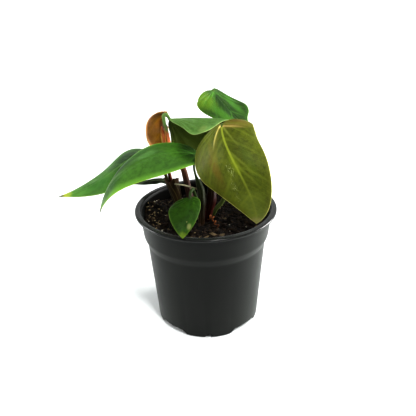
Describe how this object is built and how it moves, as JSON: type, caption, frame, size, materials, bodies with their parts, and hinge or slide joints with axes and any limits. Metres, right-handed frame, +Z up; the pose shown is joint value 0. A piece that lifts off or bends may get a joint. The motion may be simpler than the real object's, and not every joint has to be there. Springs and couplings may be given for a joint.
{
  "type": "potted philodendron",
  "caption": "Small leafy philodendron with arching heart-shaped to lance-shaped leaves, growing in soil in a round black plastic nursery pot.",
  "frame": {"origin": "centre of the pot's flat base, at the height of the surface it stands on", "axes": "+Z up, -Y to the front where the largest leaf hangs over the rim, +X to the right seen from the front"},
  "size_m": [0.176, 0.1446, 0.1765],
  "materials": {
    "pot_plastic": "satin",
    "potting_mix": "rough and crumbly",
    "leaf_green": "waxy",
    "leaf_bronze_green": "waxy",
    "leaf_young_copper": "waxy",
    "stem_maroon": "smooth",
    "stem_grey_green": "smooth",
    "stem_purple_brown": "smooth",
    "stem_salmon": "smooth",
    "dried_sheath": "papery"
  },
  "bodies": {
    "root": {"pot": "pot_plastic", "soil": "potting_mix", "vine_centre": "stem_maroon", "vine_front": "stem_grey_green", "vine_right": "stem_grey_green", "vine_left": "stem_purple_brown", "vine_young": "stem_salmon", "dry_sheath": "dried_sheath", "blade_front_large": "leaf_bronze_green", "blade_top_tented": "leaf_green", "blade_left_long": "leaf_green", "blade_young_copper": "leaf_young_copper", "blade_left_rear": "leaf_green", "blade_top_rear": "leaf_green", "blade_front_small": "leaf_green", "blade_rear_low": "leaf_green"}
  },
  "joints": []
}
